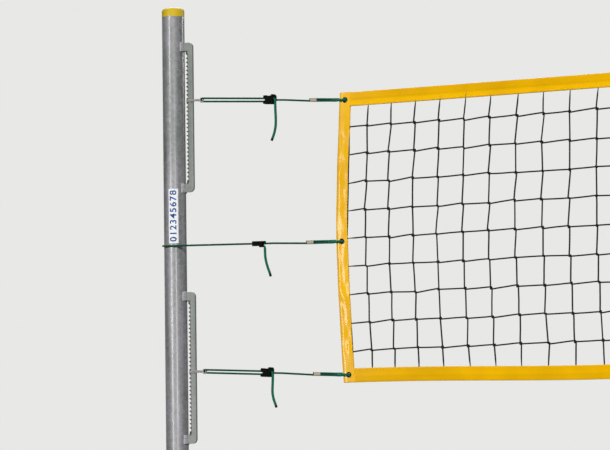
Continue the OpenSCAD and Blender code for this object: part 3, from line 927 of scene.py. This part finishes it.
def makeSideTape(side):
    section = foldedSection(tapeSet["sideWidth"], tapeSet["sideHalf"], tapeSet["cloth"], tapeSet["across"])
    steps = 348
    rows = []
    for i in range(steps + 1):
        z = net["bottom"] + sagSet["up"] + (net["height"] - sagSet["up"]) * i / steps
        row = [sidePoint(depth, y, z) for y, depth in section]
        rows.append(onSide(side, row))
    mesh = loftMesh(side + "SideTape", rows, finishes["sideVinyl"])
    turnOut(mesh)
    node = side + "_side_tape"
    piece = asPiece(node + "_cloth", pierce(mesh, node), "net", [node])


# Lacing: twine along the tape's inner edge; "shows" gives the heights where it stands clear
lacingSet = {
    "shows": {1.905: (0.19, 0.0042), 1.353: (0.05, 0.0024)}, "inset": 0.0410, "radius": 0.0021, "sides": 6,
    "spacing": 0.012,
}


def makeLacing():
    s = lacingSet
    for side in ("left", "right"):
        route = []
        for i in range(101):
            z = net["bottom"] + 0.056 + (net["height"] - 0.110) * i / 100
            clear = sum(out * clamped(3 - 3 * abs(z - at) / half) for at, (half, out) in s["shows"].items())
            ripple = 0.0004 * noise.noise(Vector((5.0, 2.0, z * 14)))
            route.append(Vector((sideEdge(z) + s["inset"] + clear + ripple, 0, z)))
        source = pathMesh(side + "Lacing", onSide(side, route))[0]
        values = {
            "Radius": s["radius"], "Sides": s["sides"], "Ring spacing": s["spacing"],
            "Finish": finishes["netTwine"],
        }
        asPiece(side + "_edge_twine", grow(side + "Lacing", source, cordTree, values), "net")


makeEdgeTape("top_tape", net["top"], 1)
makeEdgeTape("bottom_tape", net["bottom"], -1)
makeSideTape("left")
makeSideTape("right")
makeLacing()
print("tapes sewn on")


# Stitches: short threads laid end to end along a seam
stitchTree, stitchWires = newTree(
    "stitchTree", {"Pitch": "number", "Length": "number", "Thickness": "number", "Finish": "finish"}
)
seam = stitchTree.add("GeometryNodeMeshToCurve", None, {0: stitchWires["Geometry"]})
seam = stitchTree.add(
    "GeometryNodeCurveToPoints", {"mode": "LENGTH"}, {"Curve": seam, "Length": stitchWires["Pitch"]}
)
thread = stitchTree.add("GeometryNodeMeshIcoSphere", None, {"Radius": 0.5, "Subdivisions": 1})
sizes = stitchTree.joined(stitchWires["Thickness"], stitchWires["Thickness"], stitchWires["Length"])
laid = stitchTree.add("GeometryNodeInstanceOnPoints", None, {
    "Points": seam, "Instance": thread, "Rotation": seam.other("Rotation"), "Scale": sizes,
})
closeTree(stitchTree, laid, stitchWires["Finish"])
stitchSet = {"Pitch": 0.0052, "Length": 0.0042, "Thickness": 0.0011}


def manyPaths(name, paths):
    mesh = bpy.data.meshes.new(name)
    points, edges = [], []
    for path in paths:
        edges += [(len(points) + i, len(points) + i + 1) for i in range(len(path) - 1)]
        points += path
    mesh.from_pydata(points, edges, [])
    return mesh


def makeStitches():
    half, inset = tapeSet["edgeHalf"] + 0.0002, tapeSet["width"] - tapeSet["seamInset"]
    stations = edgeStations()[8:-8:2]
    values = dict(stitchSet, Finish=finishes["seamThread"])
    for node, fold, out in (("top_tape", net["top"], 1), ("bottom_tape", net["bottom"], -1)):
        paths = [[edgePoint(x, y, inset, fold, out) for x in stations] for y in (-half, half)]
        mesh = grow(node + "Seam", manyPaths(node, paths), stitchTree, values)
        asPiece(node + "_stitches", mesh, "net")
    half, inset = tapeSet["sideHalf"] + 0.0002, tapeSet["sideWidth"] - tapeSet["seamInset"]
    heights = [net["bottom"] + 0.013 + (net["height"] - 0.017) * i / 120 for i in range(121)]
    for side in ("left", "right"):
        paths = [[sidePoint(inset, y, z) for z in heights] for y in (-half, half)]
        paths = [onSide(side, p) for p in paths]
        mesh = grow(side + "Seam", manyPaths(side, paths), stitchTree, values)
        asPiece(side + "_side_tape_stitches", mesh, "net")


makeStitches()
print("seams stitched")


# Weld beads: overlapping drops round the foot of each rail leg
weldTree, weldWires = newTree(
    "weldTree", {"Pitch": "number", "Drop": "number", "Seed": "count", "Finish": "finish"}
)
foot = weldTree.add("GeometryNodeMeshToCurve", None, {0: weldWires["Geometry"]})
foot = weldTree.add(
    "GeometryNodeCurveToPoints", {"mode": "LENGTH"}, {"Curve": foot, "Length": weldWires["Pitch"]}
)
drop = weldTree.add("GeometryNodeMeshIcoSphere", None, {"Radius": weldWires["Drop"], "Subdivisions": 2})
sizing = {2: 0.85, 3: 1.2, "Seed": weldWires["Seed"]}
dropSize = weldTree.add("FunctionNodeRandomValue", {"data_type": "FLOAT"}, sizing, 1)
melted = weldTree.add("GeometryNodeInstanceOnPoints", None, {
    "Points": foot, "Instance": drop, "Rotation": foot.other("Rotation"), "Scale": dropSize,
})
closeTree(weldTree, melted, weldWires["Finish"])
weldSet = {"Pitch": 0.0026, "Drop": 0.0050, "Seed": 3}
weldRows = (-0.0150, -0.0105, -0.0060, 0.0060, 0.0105)  # places of the beads across the post


def makeWelds():
    for side in ("left", "right"):
        for level, (low, high) in railEnds.items():
            paths = []
            for a, b in ((low, low + railLook["leg"]), (high - railLook["leg"], high)):
                for y in weldRows:
                    out = postRadius - 0.0006 - 0.15 * max(0, abs(y) - 0.0105)
                    x = math.sqrt(out ** 2 - y ** 2)
                    paths.append([Vector((x, y, a + 0.002)), Vector((x, y, b - 0.002))])
            paths = [onSide(side, p) for p in paths]
            mesh = grow(side + level + "Weld", manyPaths(side + level, paths), weldTree,
                        dict(weldSet, Finish=finishes["weldZinc"]))
            asPiece(f"{side}_{level}_rail_welds", mesh, "frame")


makeWelds()
print("rails welded")


# Label: a film on the post with plain numbers that read upwards
labelSet = {
    "bottom": 1.730, "top": 1.929, "facing": 18.6, "width": 0.036, "film": 0.0003,
    "text": "0 1 2 3 4 5 6 7 8", "size": 0.033, "bold": 0.0007, "wordSpace": 0.35, "thick": 0.0001,
    "lift": 0.0001, "ink": 0.0005, "slice": 0.0018, "margin": 0.012,
}


def roundPost(u, z, height):
    angle = math.radians(labelSet["facing"]) + u / postRadius
    radius = postRadius + height
    return Vector((radius * math.sin(angle), -radius * math.cos(angle), z))


def makeLabel():
    s = labelSet
    across, up = 12, 40
    shell = bmesh.new()
    grid = []
    for i in range(up + 1):
        for j in range(across + 1):
            u = s["width"] * (j / across - 0.5)
            z = s["bottom"] + (s["top"] - s["bottom"]) * i / up
            grid.append([shell.verts.new(roundPost(u, z, h)) for h in (s["lift"], s["lift"] + s["film"])])
    wide = across + 1
    for i in range(up):
        for j in range(across):
            a = i * wide + j
            for k in (0, 1):
                shell.faces.new([grid[n][k] for n in (a, a + 1, a + wide + 1, a + wide)])
    rim = list(range(wide)) + [i * wide + across for i in range(1, up + 1)]
    rim += [up * wide + j for j in range(across - 1, -1, -1)] + [i * wide for i in range(up - 1, 0, -1)]
    for a, b in zip(rim, rim[1:] + rim[:1]):
        shell.faces.new([grid[a][0], grid[b][0], grid[b][1], grid[a][1]])
    mesh = bpy.data.meshes.new("label")
    shell.to_mesh(mesh)
    shell.free()
    mesh.materials.append(finishes["labelFilm"])
    asPiece("post_label", mesh, "frame")
    inked = bpy.data.curves.new("numbers", "FONT")
    inked.body = s["text"]
    inked.size = s["size"]
    inked.offset = s["bold"]
    inked.space_word = s["wordSpace"]
    inked.extrude = s["thick"]
    inked.align_x = "CENTER"
    inked.align_y = "CENTER"
    lettered = linked("numbers", inked)
    numbers = settled(lettered)
    bpy.data.objects.remove(lettered)
    sliced = bmesh.new()
    sliced.from_mesh(numbers)
    for i in range(-8, 9):  # cut fine enough to lie on the round post
        everything = sliced.verts[:] + sliced.edges[:] + sliced.faces[:]
        bmesh.ops.bisect_plane(sliced, geom=everything, plane_co=(0, i * s["slice"], 0), plane_no=(0, 1, 0))
    sliced.to_mesh(numbers)
    sliced.free()
    middle = (s["bottom"] + s["top"]) / 2
    reach = max(v.co.x for v in numbers.vertices)
    stretch = (s["top"] - s["bottom"] - s["margin"]) / 2 / reach
    for v in numbers.vertices:
        v.co = roundPost(-v.co.y, middle + v.co.x * stretch, s["ink"] + v.co.z)
    numbers.materials.clear()
    numbers.materials.append(finishes["labelInk"])
    asPiece("post_label_numbers", numbers, "frame")


makeLabel()
print("label on")


# Court, sky and lamps
roomSet = {"pale": paint(232, 232, 230), "bounce": (0.07, 0.07, 0.07, 1), "sky": 0.075, "floor": -0.001}
sunSet = {  # strength, azimuth from the front towards the right post, height, spread, in degrees
    "key": (3.1, 22, 22, 24), "back": (2.2, 208, 34, 30),
}
panelSet = {  # strength in watts, azimuth, distance, lower and upper edge, width, in metres
    "lowPanel": (1150, 33.5, 10, 0.9, 3.1, 0.7), "leftPanel": (130, -14, 2, 0.94, 2.22, 0.12),
    "leftHighPanel": (60, -14, 2, 2.58, 3.0, 0.12), "highPanel": (260, 141, 6, 3.25, 4.6, 0.5),
}


def seenRay(bench):
    ray = bench.add("ShaderNodeLightPath", out="Is Camera Ray")
    mirrored = bench.maths("MAXIMUM", ray.other("Is Glossy Ray"), ray.other("Is Transmission Ray"))
    return bench.maths("MAXIMUM", ray, mirrored)


def makeFloor():
    mesh = bpy.data.meshes.new("court")
    corners = [(x, y, roomSet["floor"]) for x, y in ((-60, -60), (70, -60), (70, 60), (-60, 60))]
    mesh.from_pydata(corners, [], [(0, 1, 2, 3)])

    def build(bench, where):
        grit = bench.noise(where, 40.0, 3.0)
        pale = bench.mixed(grit, paint(226, 226, 224), paint(234, 234, 232))
        colour = bench.mixed(seenRay(bench), roomSet["bounce"], pale)
        return {"Base Color": colour, "Roughness": 0.9, "Specular IOR Level": 0.0}

    mesh.materials.append(makeFinish("courtPale", build))
    linked("court", mesh)


def makeSky():
    world = bpy.data.worlds.new("sky")
    bpy.context.scene.world = world
    world.use_nodes = True
    world.node_tree.nodes.clear()
    bench = Bench(world.node_tree)
    dim = tuple(c * roomSet["sky"] / roomSet["pale"][0] for c in roomSet["pale"][:3]) + (1,)
    colour = bench.mixed(seenRay(bench), dim, roomSet["pale"])
    light = bench.add("ShaderNodeBackground", None, {"Color": colour})
    bench.add("ShaderNodeOutputWorld", None, {"Surface": light})


def towards(azimuth, height):
    a, e = math.radians(azimuth), math.radians(height)
    return Vector((math.sin(a) * math.cos(e), -math.cos(a) * math.cos(e), math.sin(e)))


def makeLamp(name, kind, strength, direction):
    data = bpy.data.lights.new(name, kind)
    data.energy = strength
    lamp = linked(name, data)
    lamp.rotation_mode = "QUATERNION"
    lamp.rotation_quaternion = direction.to_track_quat("Z", "Y")
    return lamp


def makeLamps():
    for name, (strength, azimuth, height, spread) in sunSet.items():
        lamp = makeLamp(name, "SUN", strength, towards(azimuth, height))
        lamp.data.angle = math.radians(spread)
    for name, (strength, azimuth, distance, low, high, width) in panelSet.items():
        lamp = makeLamp(name, "AREA", strength, towards(azimuth, 0))
        lamp.data.shape = "RECTANGLE"
        lamp.data.size, lamp.data.size_y = width, high - low
        lamp.location = towards(azimuth, 0) * distance + Vector((0, 0, (low + high) / 2))
        lamp.visible_camera = False
        lamp.visible_diffuse = False  # only the gloss shows these


makeFloor()
makeSky()
makeLamps()
bpy.context.scene.view_settings.view_transform = "Standard"
print("lamps lit")
